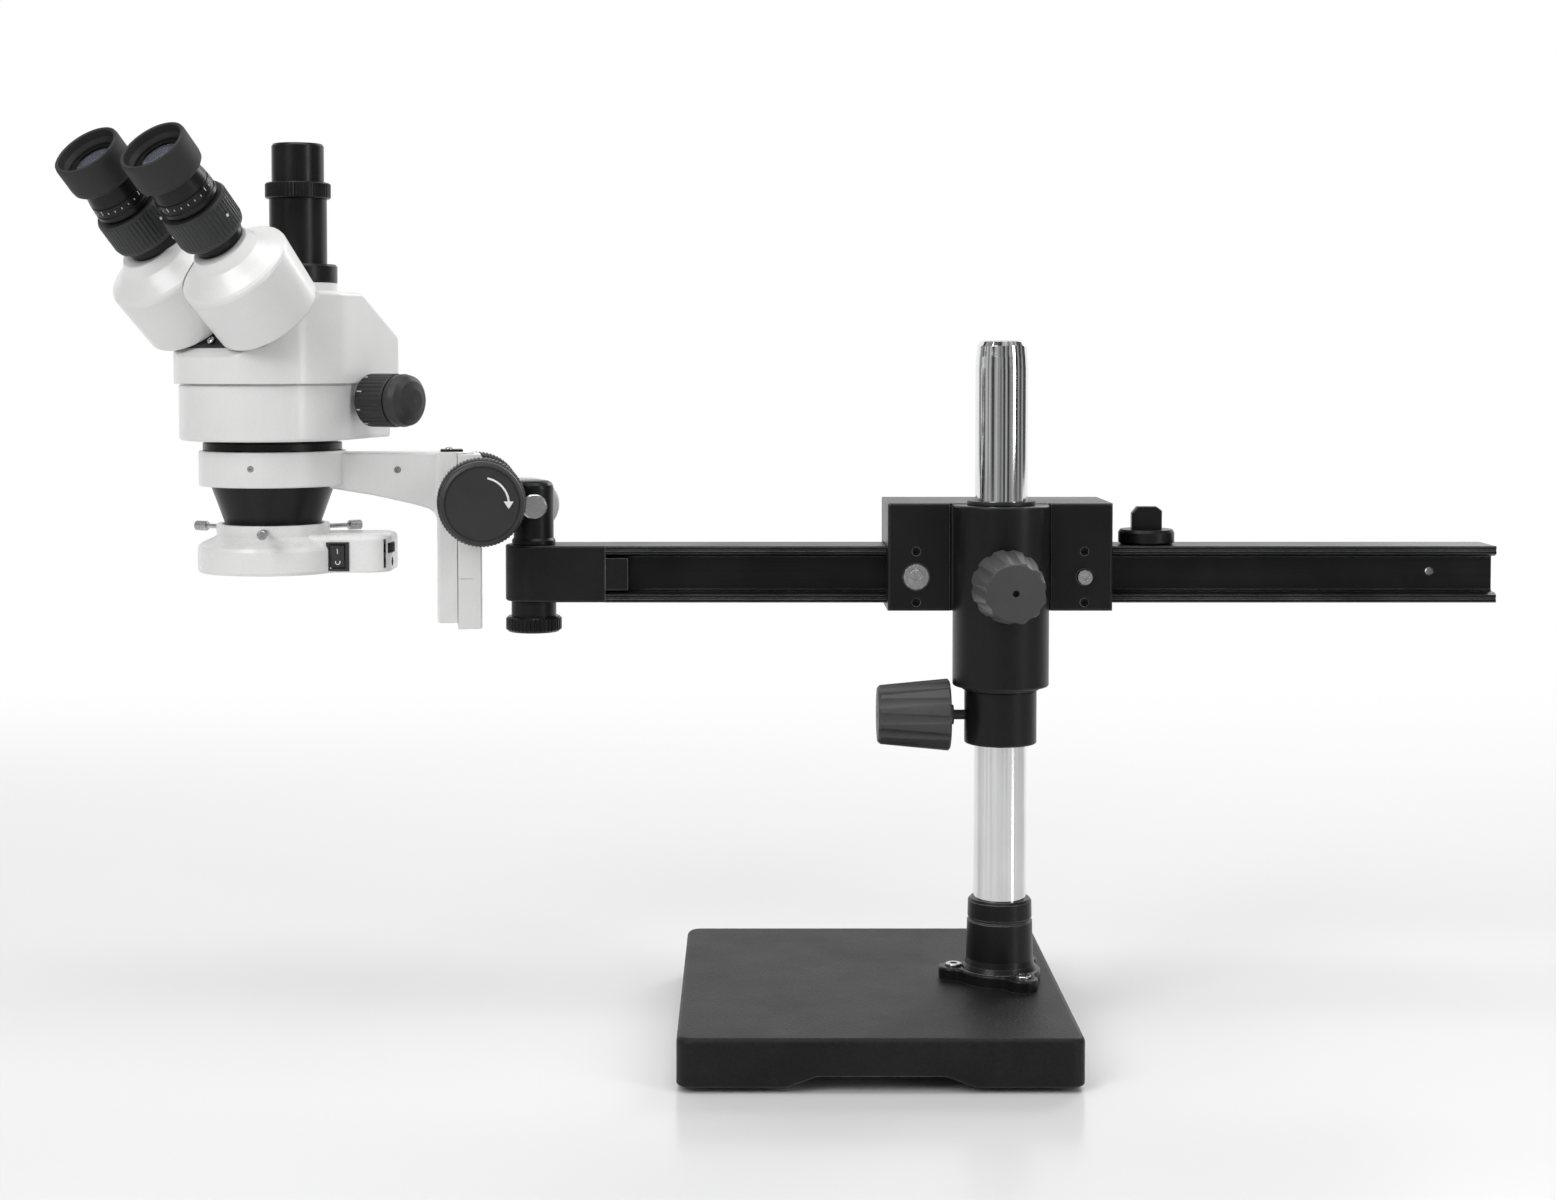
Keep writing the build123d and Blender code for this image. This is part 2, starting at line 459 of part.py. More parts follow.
def make_head():
    c = rev([(25.0, 298.5), (25.0, 360.4), (40.0, 360.4), (40.0, 359.2), (42.6, 358.8), (42.6, 354.6), (42.0, 354.1), (37.95, 354.1),
             (37.95, 332.0), (37.4, 331.0), (30.0, 310.4), (29.8, 309.6), (29.8, 291.0), (28.8, 290.0), (0, 290.0), (0, 298.5)])
    for y in (-12.6, 12.6):
        c -= cyl(10.02, 289, 300, 0, y)
        c -= cyl(11.3, 289, 292.2, 0, y)
    save("objective_cone", H * c)
    ls = []
    for y in (-12.6, 12.6):
        g = rev([(0, 292.4), (5, 292.8), (9.98, 294.0), (9.98, 297.6), (5, 298.3), (0, 298.5)])
        ls.append(Pos(0, y, 0) * g)
    save("objective_lenses", H * Compound(children=ls))

    lo = Pos(0, 0, 360.6) * extrude(plan(53.0, -5, 79.0, 29.0), 33.8)
    lo = soften(lo, lo.faces().sort_by(Axis.Z)[0].edges(), 2.2, 1.5)
    li = Pos(0, 0, 363.6) * extrude(plan(50.0, -5, 76.0, 26.2, 6.0), 40)
    lo -= li
    lo -= cyl(26.0, 350, 370)
    lo -= cyl_y(3.06, -70, 70, ZOOM_X, ZOOM_Z)
    # joining lip that enters the upper shell
    lip = Pos(0, 0, 392.0) * extrude(plan(52.2, -5, 78.2, 28.2), 3.5) - Pos(0, 0, 390) * extrude(plan(50.0, -5, 76.0, 26.2, 6.0), 9)
    lo += lip
    save("head_lower_shell", H * lo)

    out = Pos(0, 0, 395.6) * extrude(plan(56.0, -5, 85.2, 31.0), 60)
    out = out & profile_y(upper_profile(0.0), -80, 80)
    top = [e for e in out.edges() if e.center().Z > 396.5 and abs(e.center().Y) > 12]
    out = soften(out, top, 3.0, 2.4, 1.6, 1.0)
    inn = Pos(0, 0, 395.0) * extrude(plan(52.8, -5, 82.0, 28.0, 6.0), 60)
    inn = inn & Pos(0, 0, -0.6) * profile_y(upper_profile(3.2), -80, 80)
    u = out - inn
    u += cyl(24.0, 449.5, 458.3, PORT_X, 0)
    u -= cyl(15.5, 440, 470, PORT_X, 0)
    dk = deck()
    for sy in (-1, 1):
        u -= dk * Pos(sy * DRUM_L, 0, -12) * Cylinder(11.0, 20)
    save("head_upper_shell", H * u)

    # swivel deck plate on the sloping face
    d = extrude(RectangleRounded(94, 50, 10), 2.6)
    d = Pos(0, 2, -2.95) * d
    for sy in (-1, 1):
        d -= Pos(sy * DRUM_L, 0, 0) * Cylinder(11.0, 20)
    d = dk * d
    sc = dk * (Pos(0, 24.0, -0.4) * Cylinder(2.6, 1.0, align=MIN))
    d += sc
    save("prism_deck", H * d)

    # camera tube
    t = rev([(12.0, 458.4), (24.0, 458.4), (24.2, 459.4), (24.2, 468.6), (23.2, 470.0), (17.9, 470.0), (17.9, 511.0), (16.25, 511.0),
             (16.25, 544.2), (15.2, 545.6), (11.6, 545.6), (11.6, 520.0), (12.0, 519.0)])
    save("photo_tube", H * (Pos(PORT_X, 0, 0) * t))
    r = Pos(0, 0, 511.2) * extrude(ribbed(20.4, 60, 0.35), 10.0)
    r = r & rev([(0, 511.2), (19.4, 511.2), (20.5, 512.2), (20.5, 520.2), (19.4, 521.2), (0, 521.2)])
    r -= cyl(16.3, 500, 530)
    save("photo_tube_ring", H * (Pos(PORT_X, 0, 0) * r))

    # zoom drive
    for name, sy in (("zoom_knob_near", -1), ("zoom_knob_far", 1)):
        k = extrude(ribbed(16.6, 36, 0.5), 22.0)
        k = k & rev([(0, 0), (15.4, 0), (16.7, 1.2), (16.7, 20.8), (15.8, 22), (0, 22)])
        k += rev([(0, 21.5), (14.8, 21.5), (14.8, 23.0), (16.2, 23.8), (16.4, 27.0), (15.4, 31.0), (12.0, 34.0), (7.0, 35.3), (0, 35.6)])
        k += cyl(9.0, -4.6, 0.2)
        k -= cyl(3.02, -6, 28)
        k = Plane(origin=(ZOOM_X, sy * ZOOM_Y, ZOOM_Z), x_dir=(1, 0, 0), z_dir=(0, sy, 0)).location * k
        save(name, H * k)
    sh = cyl_y(3.0, -79.2, 79.2, ZOOM_X, ZOOM_Z) + cyl_y(8.0, -5, 5, ZOOM_X, ZOOM_Z)
    save("zoom_shaft", H * sh)
    z = box(-16, 21, -26, 26, 379, 391) + box(20, ZOOM_X - 8.3, -4, 4, 375, 395)
    for y in (-12.6, 12.6):
        z -= cyl(9.0, 370, 400, 0, y)
        z += cyl(9.6, 383, 387, 0, y)
    save("zoom_carriage", H * z)

    # eyepiece side, near and far
    for tag, sy in (("near", -1), ("far", 1)):
        dl = deck() * Pos(sy * DRUM_L, 0, 0)
        inn = -sy                                    # local x towards the middle
        prof = [(0, 0), (32.4, 0), (32.9, 0.8), (DRUM_R, DRUM_H - 2.4), (DRUM_R - 0.5, DRUM_H - 0.6), (DRUM_R - 2.0, DRUM_H + 1.0),
                (27.0, DRUM_H + 4.4), (21.0, DRUM_H + 9.0), (18.4, HOUSE_H - 1.6), (17.2, HOUSE_H), (0, HOUSE_H)]
        hs = rev(prof)
        hs = hs & Pos(inn * (29.4 - 50), 0, 20) * Box(100, 100, 120)
        cav = rev([(0, -1), (29.4, -1), (31.0, DRUM_H - 3.0), (24.0, DRUM_H + 2.0), (0, DRUM_H + 2.0)])
        cav = cav & Pos(inn * (26.4 - 50), 0, 20) * Box(100, 100, 120)
        hs -= cav
        hs -= Pos(inn * EYE_IN, -EYE_UP, 0) * cyl(13.0, DRUM_H - 5, HOUSE_H + 1)
        hs -= Pos(inn * EYE_IN, -EYE_UP, 0) * cyl(15.04, DRUM_H + 6, HOUSE_H + 1)
        save("prism_housing_" + tag, H * (dl * hs))

        pr = slab([(-12, -14), (12, -14), (12, 14), (-12, 14)], 4.0, 30.0)
        pr = pr & Pos(0, 0, 17) * Rot(45, 0, 0) * Box(40, 32, 32)
        save("prism_" + tag, H * (dl * Pos(inn * 1.5, 0, 0) * pr))

        ax = dl * Pos(inn * EYE_IN, -EYE_UP, 0)
        ep = rev([(11.2, DRUM_H + 6.2), (15.0, DRUM_H + 6.2), (15.0, 57.0), (16.0, 57.4), (16.0, 88.0), (17.6, 88.0), (17.6, 90.4), (17.0, 90.8),
                  (17.0, 91.6), (17.6, 92.0), (17.2, 97.0), (16.6, 97.3), (16.6, 98.0), (17.1, 98.3), (15.9, 106.0), (15.9, 118.6), (14.4, 119.0), (14.4, 121.4),
                  (12.2, 121.4), (12.2, 117.4), (11.2, 117.0)])
        save("eyepiece_" + tag, H * (ax * ep))
        dr = Pos(0, 0, 62.0) * extrude(ribbed(20.7, 48, 0.45), 24.0)
        dr = dr & rev([(0, 62.0), (18.4, 62.0), (19.9, 63.2), (20.8, 66.5), (20.8, 83.4), (19.6, 85.6), (0, 85.6)])
        dr -= cyl(16.06, 60, 90)
        save("diopter_ring_" + tag, H * (ax * dr))
        ec = rev([(15.95, 107.6), (19.0, 107.6), (20.4, 109.2), (20.9, 112.0), (20.9, 127.2), (20.5, EYE_TOP - 0.6), (19.6, EYE_TOP),
                  (18.4, EYE_TOP - 0.6), (17.6, 124.6), (16.2, 122.2), (15.95, 121.6)])
        save("eyecup_" + tag, H * (ax * ec))
        ln = rev([(0, 117.2), (12.1, 117.2 + 0.4), (12.1, 120.0), (8.0, 121.0), (0, 121.5)])
        ln = ln & cyl(12.1, 117.5, 130)
        save("eye_lens_" + tag, H * (ax * ln))


def deck():
    """Frame of the sloping seat: x to the far side, y down the slope, z along the eyepiece axis."""
    s = sqrt(0.5)
    xo = -34.2
    return Plane(origin=(xo, 0, DECK_C + xo), x_dir=(0, 1, 0), z_dir=(-s, 0, s)).location


# ------------------------------------------------ ring light
def make_light():
    b = rev([(31.0, 279.0), (31.0, 308.0), (31.6, 308.6), (34.2, 308.6), (34.7, 308.1), (34.7, 301.4), (36.0, 300.2), (43.2, 297.0), (45.4, 295.4),
             (46.1, 293.2), (46.1, 280.8), (45.2, 279.0)])
    bx = box(24, 75.6, -24, 24, 279.4, 302.4)
    bx = soften(bx, [e for e in bx.edges().filter_by(Axis.Z) if e.center().X > 70], 13.0, 10.0)
    bx = soften(bx, bx.faces().sort_by(Axis.Z)[-1].edges(), 3.6, 2.5)
    bx = soften(bx, bx.faces().sort_by(Axis.Z)[0].edges(), 1.0)
    bx -= cyl(33.0, 270, 310)
    bx -= box(48, 73.0, -20, 20, 282.0, 299.6)
    b += bx
    b -= cyl(31.0, 270, 310)
    b -= (cyl(43.6, 277, 284.6) - cyl(33.4, 277, 284.6))
    az = (155.0, 275.0, 35.0)
    for a in az:
        g = radians(a)
        b -= Plane(origin=(28 * cos(g), 28 * sin(g), 305.0), z_dir=(cos(g), sin(g), 0)).location * Cylinder(1.53, 10, align=MIN)
    b -= box(38.6, 50.0, -30, -19, 281.6, 297.0)
    b -= box(70, 80, -17.2, -0.8, 290.8, 297.2)
    b -= cyl_x(2.9, 68, 80, -9.0, 285.2)
    save("ring_light_body", L * b)
    ld = cyl(43.5, 282.4, 284.5) - cyl(33.5, 282.0, 285.0)
    for i in range(36):
        g = 2 * pi * i / 36
        for rr in (38.5,):
            ld += Pos(rr * cos(g), rr * sin(g), 280.4) * rev([(0, 0), (1.0, 0.3), (1.9, 1.2), (2.1, 2.2), (0, 2.2)])
    save("led_ring", L * ld)
    # rocker, tall, turning about a level axis
    r = profile_x([(-24.4, 289.3), (-25.6, 296.2), (-21.6, 296.2), (-20.6, 289.3), (-21.6, 282.4), (-23.4, 282.4)], 40.1, 48.5)
    save("rocker_switch", L * r)
    w = Pos(0, 0, 291.4) * extrude(ribbed(8.6, 30, 0.4), 5.2) - cyl(1.6, 290, 300)
    save("dimmer_wheel", L * (Pos(68.4, -9.0, 0) * w))
    ts = []
    for a in az:
        g = radians(a)
        s = cyl(1.48, 0, 21.0)
        hd = Pos(0, 0, 20.6) * extrude(ribbed(3.1, 18, 0.25), 8.8)
        hd = hd & rev([(0, 20.6), (2.6, 20.6), (3.15, 21.2), (3.15, 28.8), (2.5, 29.4), (0, 29.4)])
        s += hd
        ts.append(Plane(origin=(30.3 * cos(g), 30.3 * sin(g), 305.0), z_dir=(cos(g), sin(g), 0)).location * s)
    save("light_thumb_screws", L * Compound(children=ts))


def profile_x(pts, x0, x1):
    """Extrude (y, z) points along X from x0 to x1."""
    f = Plane(origin=(x0, 0, 0), x_dir=(0, 1, 0), z_dir=(1, 0, 0)) * make_face(Polyline(*pts, close=True))
    return extrude(f, x1 - x0, dir=(1, 0, 0))


make_stand()
make_carrier()
make_boom()
make_arm()
make_head()
make_light()
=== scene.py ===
import bpy
import bmesh
import json
import math
from mathutils import Matrix, Vector


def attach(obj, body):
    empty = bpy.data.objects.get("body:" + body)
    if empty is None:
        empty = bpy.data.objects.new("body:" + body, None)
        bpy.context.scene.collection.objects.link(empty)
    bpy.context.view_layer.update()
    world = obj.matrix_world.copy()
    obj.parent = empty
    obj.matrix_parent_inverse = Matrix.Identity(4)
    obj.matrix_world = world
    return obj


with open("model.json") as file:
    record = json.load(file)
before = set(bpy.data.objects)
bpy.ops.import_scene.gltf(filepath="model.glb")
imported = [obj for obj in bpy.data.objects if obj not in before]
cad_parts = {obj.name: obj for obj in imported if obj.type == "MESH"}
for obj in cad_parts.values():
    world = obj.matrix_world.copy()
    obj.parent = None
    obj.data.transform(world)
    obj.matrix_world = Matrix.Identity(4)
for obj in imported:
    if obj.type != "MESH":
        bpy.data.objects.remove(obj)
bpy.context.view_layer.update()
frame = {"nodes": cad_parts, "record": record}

scene = bpy.context.scene
nodes = frame["nodes"]


# ------------------------------------------------ shared places, in millimetres
def move(x, y, z):
    return Matrix.Translation((x, y, z))


def turn(deg, axis="Z"):
    return Matrix.Rotation(math.radians(deg), 4, axis)


def seat(origin, x_dir, z_dir):
    x, z = Vector(x_dir).normalized(), Vector(z_dir).normalized()
    y = z.cross(x)
    m = Matrix.Identity(4)
    for i in range(3):
        m[i][0], m[i][1], m[i][2], m[i][3] = x[i], y[i], z[i], origin[i]
    return m


HALF = math.sqrt(0.5)
ARM = move(-208.8, 37.0, 0) @ turn(8.0)
HEAD = ARM @ move(-161.0, 20.0, 0) @ turn(49.5)
LIGHT = move(HEAD.translation.x, HEAD.translation.y, 0)
DECK = HEAD @ seat((-34.2, 0, 438.4), (0, 1, 0), (-HALF, 0, HALF))
EYE = {"near": DECK @ move(-30.0 + 2.75, -3.5, 0), "far": DECK @ move(30.0 - 2.75, -3.5, 0)}


# ------------------------------------------------ materials
def material(name, dark, light, rough, metal=0.0, grain=1400.0, bump=0.12, depth=0.00012, stretch=(1, 1, 1),
             smudge=0.07, coat=0.0, edge=0.0004, patches=28.0, rot=(0, 0, 0), spec=0.5, painted_edge_highlight=None):
    m = bpy.data.materials.new(name)
    m.use_nodes = True
    t = m.node_tree
    n, k = t.nodes, t.links
    n.clear()
    out = n.new("ShaderNodeOutputMaterial")
    p = n.new("ShaderNodeBsdfPrincipled")
    k.new(p.outputs[0], out.inputs[0])
    tc = n.new("ShaderNodeTexCoord")
    mp = n.new("ShaderNodeMapping")
    mp.inputs["Scale"].default_value = stretch
    mp.inputs["Rotation"].default_value = rot
    k.new(tc.outputs["Object"], mp.inputs["Vector"])
    fine = n.new("ShaderNodeTexNoise")
    fine.inputs["Scale"].default_value = grain
    fine.inputs["Detail"].default_value = 3.0
    k.new(mp.outputs[0], fine.inputs["Vector"])
    wide = n.new("ShaderNodeTexNoise")
    wide.inputs["Scale"].default_value = patches
    wide.inputs["Detail"].default_value = 5.0
    wide.inputs["Roughness"].default_value = 0.6
    k.new(tc.outputs["Object"], wide.inputs["Vector"])
    both = n.new("ShaderNodeMath")
    both.operation = "MULTIPLY_ADD"
    both.inputs[1].default_value = 0.45
    k.new(fine.outputs["Fac"], both.inputs[0])
    half = n.new("ShaderNodeMath")
    half.operation = "MULTIPLY"
    half.inputs[1].default_value = 0.55
    k.new(wide.outputs["Fac"], half.inputs[0])
    k.new(half.outputs[0], both.inputs[2])
    ramp = n.new("ShaderNodeValToRGB")
    ramp.color_ramp.elements[0].position = 0.32
    ramp.color_ramp.elements[0].color = (*dark, 1)
    ramp.color_ramp.elements[1].position = 0.68
    ramp.color_ramp.elements[1].color = (*light, 1)
    k.new(both.outputs[0], ramp.inputs[0])
    k.new(ramp.outputs[0], p.inputs["Base Color"])
    rr = n.new("ShaderNodeMapRange")
    rr.inputs["From Min"].default_value = 0.3
    rr.inputs["From Max"].default_value = 0.7
    rr.inputs["To Min"].default_value = max(0.02, rough - smudge)
    rr.inputs["To Max"].default_value = rough + smudge
    k.new(both.outputs[0], rr.inputs["Value"])
    k.new(rr.outputs[0], p.inputs["Roughness"])
    bp = n.new("ShaderNodeBump")
    bp.inputs["Strength"].default_value = bump
    bp.inputs["Distance"].default_value = depth
    k.new(fine.outputs["Fac"], bp.inputs["Height"])
    if edge > 0:
        be = n.new("ShaderNodeBevel")
        be.samples = 4
        be.inputs["Radius"].default_value = edge
        k.new(be.outputs[0], bp.inputs["Normal"])
        if painted_edge_highlight:
            # painted highlight: a thin light line where two faces meet, broken into patches by noise
            ge = n.new("ShaderNodeNewGeometry")
            dt = n.new("ShaderNodeVectorMath")
            dt.operation = "DOT_PRODUCT"
            k.new(be.outputs[0], dt.inputs[0])
            k.new(ge.outputs["Normal"], dt.inputs[1])
            ed = n.new("ShaderNodeMapRange")
            ed.inputs["From Min"].default_value = 0.998
            ed.inputs["From Max"].default_value = 0.93
            ed.inputs["To Max"].default_value = 1.7
            k.new(dt.outputs["Value"], ed.inputs["Value"])
            pa = n.new("ShaderNodeMath")
            pa.operation = "MULTIPLY"
            pa.use_clamp = True
            k.new(ed.outputs[0], pa.inputs[0])
            k.new(wide.outputs["Fac"], pa.inputs[1])
            wm = n.new("ShaderNodeMix")
            wm.data_type = "RGBA"
            k.new(pa.outputs[0], wm.inputs[0])
            k.new(ramp.outputs[0], wm.inputs[6])
            wm.inputs[7].default_value = (*painted_edge_highlight, 1)
            k.new(wm.outputs[2], p.inputs["Base Color"])
    k.new(bp.outputs[0], p.inputs["Normal"])
    p.inputs["Metallic"].default_value = metal
    p.inputs["Specular IOR Level"].default_value = spec
    if coat > 0:
        p.inputs["Coat Weight"].default_value = coat
        p.inputs["Coat Roughness"].default_value = 0.12
    return m


def along(m, direction, level, colour, above=True, soft=0.00002):
    """Repaint what lies past level along direction, in the row frame."""
    t = m.node_tree
    n, k = t.nodes, t.links
    p = [x for x in n if x.type == "BSDF_PRINCIPLED"][0]
    old = p.inputs["Base Color"].links[0].from_socket
    tc = n.new("ShaderNodeTexCoord")
    d = n.new("ShaderNodeVectorMath")
    d.operation = "DOT_PRODUCT"
    d.inputs[1].default_value = direction
    k.new(tc.outputs["Object"], d.inputs[0])
    r = n.new("ShaderNodeMapRange")
    lo, hi = level - soft, level + soft
    r.inputs["From Min"].default_value = lo if above else hi
    r.inputs["From Max"].default_value = hi if above else lo
    k.new(d.outputs["Value"], r.inputs["Value"])
    mx = n.new("ShaderNodeMix")
    mx.data_type = "RGBA"
    k.new(r.outputs[0], mx.inputs[0])
    k.new(old, mx.inputs[6])
    mx.inputs[7].default_value = (*colour, 1)
    k.new(mx.outputs[2], p.inputs["Base Color"])
    return m


def copy_of(m, name):
    c = m.copy()
    c.name = name
    return c


def glass(name, tint, film, clear=1.0):
    m = bpy.data.materials.new(name)
    m.use_nodes = True
    t = m.node_tree
    n, k = t.nodes, t.links
    p = [x for x in n if x.type == "BSDF_PRINCIPLED"][0]
    tc = n.new("ShaderNodeTexCoord")
    no = n.new("ShaderNodeTexNoise")
    no.inputs["Scale"].default_value = 160.0
    no.inputs["Detail"].default_value = 4.0
    k.new(tc.outputs["Object"], no.inputs["Vector"])
    ra = n.new("ShaderNodeValToRGB")
    ra.color_ramp.elements[0].color = (*[c * 0.92 for c in tint], 1)
    ra.color_ramp.elements[1].color = (*tint, 1)
    k.new(no.outputs["Fac"], ra.inputs[0])
    k.new(ra.outputs[0], p.inputs["Base Color"])
    r = n.new("ShaderNodeMapRange")
    r.inputs["To Min"].default_value = 0.01
    r.inputs["To Max"].default_value = 0.06
    k.new(no.outputs["Fac"], r.inputs["Value"])
    k.new(r.outputs[0], p.inputs["Roughness"])
    p.inputs["Transmission Weight"].default_value = clear
    p.inputs["IOR"].default_value = 1.52
    p.inputs["Thin Film Thickness"].default_value = film
    p.inputs["Thin Film IOR"].default_value = 1.38
    return m


# the last colour given to the black materials below is a painted highlight along their edges
M = {
    "cast_iron_black": material("cast_iron_black", (0.006, 0.006, 0.0065), (0.015, 0.015, 0.016), 0.47, grain=620, bump=0.55, depth=0.00045, edge=0.0008, painted_edge_highlight=(0.20, 0.20, 0.205), spec=0.20),
    "black_enamel": material("black_enamel", (0.005, 0.005, 0.0055), (0.010, 0.010, 0.011), 0.36, grain=1000, bump=0.20, depth=0.00018, coat=0.06, edge=0.0007, painted_edge_highlight=(0.24, 0.24, 0.245), spec=0.24),
    "boom_black": material("boom_black", (0.004, 0.004, 0.0045), (0.013, 0.013, 0.014), 0.34, metal=0.2, grain=1.0, bump=0.14, depth=0.00025, stretch=(7, 1500, 1500), edge=0.0004, painted_edge_highlight=(0.26, 0.26, 0.265), spec=0.24),
    "chrome": material("chrome", (0.74, 0.74, 0.75), (0.86, 0.86, 0.87), 0.075, metal=1.0, grain=1.0, bump=0.012, depth=0.00004, stretch=(900, 900, 25), smudge=0.035, edge=0.0003),
    "steel": material("steel", (0.48, 0.48, 0.49), (0.68, 0.68, 0.69), 0.24, metal=1.0, grain=900, bump=0.06, smudge=0.08, edge=0.0003),
    "brass": material("brass", (0.60, 0.43, 0.17), (0.78, 0.60, 0.28), 0.28, metal=1.0, grain=900, bump=0.08, edge=0.0003),
    "white_enamel": material("white_enamel", (0.77, 0.77, 0.765), (0.83, 0.83, 0.825), 0.34, grain=1000, bump=0.09, depth=0.00014, coat=0.25, smudge=0.05, edge=0.0008),
    "black_plastic": material("black_plastic", (0.017, 0.017, 0.018), (0.028, 0.028, 0.030), 0.46, grain=1900, bump=0.22, depth=0.00012, edge=0.0004),
    "black_anodised": material("black_anodised", (0.007, 0.007, 0.0075), (0.014, 0.014, 0.015), 0.31, metal=0.2, grain=2400, bump=0.08, depth=0.00008, edge=0.0003, spec=0.28),
    "rubber": material("rubber", (0.011, 0.011, 0.011), (0.022, 0.022, 0.022), 0.66, grain=2600, bump=0.30, depth=0.00015, edge=0.0005),
    "white_plastic": material("white_plastic", (0.79, 0.79, 0.785), (0.85, 0.85, 0.845), 0.28, grain=1800, bump=0.06, depth=0.00008, smudge=0.05, edge=0.0006),
    "led_white": material("led_white", (0.72, 0.74, 0.70), (0.82, 0.83, 0.79), 0.35, grain=2200, bump=0.08, edge=0.0002),
}
M["led_white"] = along(M["led_white"], (0, 0, 1), 0.28236, (0.80, 0.74, 0.42), above=False)
M["glass"] = glass("glass", (0.93, 0.95, 0.97), 320.0)
knob_grey = material("knob_grey", (0.040, 0.040, 0.041), (0.062, 0.062, 0.063), 0.50, grain=1500, bump=0.35, depth=0.00018, edge=0.0006)
mark = material("white_mark", (0.70, 0.70, 0.70), (0.82, 0.82, 0.81), 0.5, grain=3000, bump=0.1, edge=0.0)
dull_black_and_painted_shade = material("dull_black", (0.003, 0.003, 0.003), (0.006, 0.006, 0.006), 0.8, grain=1500, bump=0.2, edge=0.0)
coated = glass("coated_lens", (0.40, 0.42, 0.52), 240.0, 0.80)
board = material("circuit_board", (0.62, 0.64, 0.60), (0.74, 0.75, 0.70), 0.4, grain=1200, bump=0.1, edge=0.0)

slot_of = {s["node"]: s["material_slot"] for s in frame["record"]["subparts"]}
for name, ob in nodes.items():
    mat = M[slot_of[name]]
    if name == "tension_dial":
        # the arrow stands proud of the dial, and is white
        y_arm = (ARM.to_3x3() @ Vector((0, 1, 0)))
        face = (ARM @ Vector((0, -13.7 - 32.82, 0))).dot(y_arm) / 1000
        mat = along(copy_of(M["black_plastic"], "dial_plastic"), tuple(y_arm), face, (0.80, 0.80, 0.79), above=False)
    if name in ("collar_knob", "carrier_knob"):
        mat = knob_grey
    if name in ("objective_lenses", "eye_lens_near", "eye_lens_far"):
        mat = coated
    ob.data.materials.clear()
    ob.data.materials.append(mat)
    ob.data.shade_smooth()
    ob.data.set_sharp_from_angle(angle=math.radians(32))


# ------------------------------------------------ small pieces that ride on the CAD
def piece(name, bm, place, mat, body, bevel=0.0):
    bmesh.ops.transform(bm, matrix=Matrix.Scale(0.001, 4) @ place, verts=bm.verts)
    bmesh.ops.recalc_face_normals(bm, faces=bm.faces)
    me = bpy.data.meshes.new(name)
    bm.to_mesh(me)
    bm.free()
    ob = bpy.data.objects.new(name, me)
    scene.collection.objects.link(ob)
    me.materials.append(mat)
    me.shade_smooth()
    me.set_sharp_from_angle(angle=math.radians(32))
    if bevel:
        b = ob.modifiers.new("edges", "BEVEL")
        b.width = bevel / 1000
        b.segments = 2
        b.limit_method = "ANGLE"
    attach(ob, body)
    return ob


def add_block(bm, x0, x1, y0, y1, z0, z1, at=None):
    r = bmesh.ops.create_cube(bm, size=1.0)
    m = move((x0 + x1) / 2, (y0 + y1) / 2, (z0 + z1) / 2) @ Matrix.Diagonal((x1 - x0, y1 - y0, z1 - z0, 1))
    bmesh.ops.transform(bm, matrix=(at or Matrix.Identity(4)) @ m, verts=r["verts"])


def add_turned(bm, profile, steps=40, at=None):
    """Turned body from (radius, height) points, closed at the axis."""
    rings = []
    for r, z in profile:
        if r < 1e-6:
            rings.append([bm.verts.new((0, 0, z))])
        else:
            rings.append([bm.verts.new((r * math.cos(2 * math.pi * i / steps), r * math.sin(2 * math.pi * i / steps), z)) for i in range(steps)])
    made = [v for g in rings for v in g]
    for a, b in zip(rings, rings[1:]):
        for i in range(steps):
            j = (i + 1) % steps
            q = [a[i % len(a)], a[j % len(a)], b[j % len(b)], b[i % len(b)]]
            u = []
            for v in q:
                if v not in u:
                    u.append(v)
            if len(u) > 2:
                bm.faces.new(u)
    if at is not None:
        bmesh.ops.transform(bm, matrix=at, verts=made)


def ring_profile(r0, r1, z0, z1):
    return [(r0, z0), (r1, z0), (r1, z1), (r0, z1), (r0, z0)]


# switch bezel and the two marks on the rocker
bm = bmesh.new()
for a in ((37.3, 39.5, 280.4, 298.2), (49.1, 51.3, 280.4, 298.2)):
    add_block(bm, a[0], a[1], -25.1, -23.4, a[2], a[3])
add_block(bm, 39.4, 49.2, -25.1, -23.4, 280.4, 281.7)
add_block(bm, 39.4, 49.2, -25.1, -23.4, 296.9, 298.2)
piece("switch_bezel", bm, LIGHT, M["black_plastic"], "ring_light", 0.3)
lower = LIGHT @ seat((44.3, -24.0, 285.9), (1, 0, 0), (0, -0.99, 0.14))
bm = bmesh.new()
add_turned(bm, ring_profile(1.15, 1.65, -0.2, 0.12), 28, lower)
piece("rocker_ring_mark", bm, Matrix.Identity(4), mark, "rocker")
upper = LIGHT @ seat((44.3, -25.0, 292.6), (1, 0, 0), (0, -0.985, -0.172))
bm = bmesh.new()
add_block(bm, -0.25, 0.25, -1.6, 1.6, -0.2, 0.12, upper)
piece("rocker_line_mark", bm, Matrix.Identity(4), mark, "rocker")

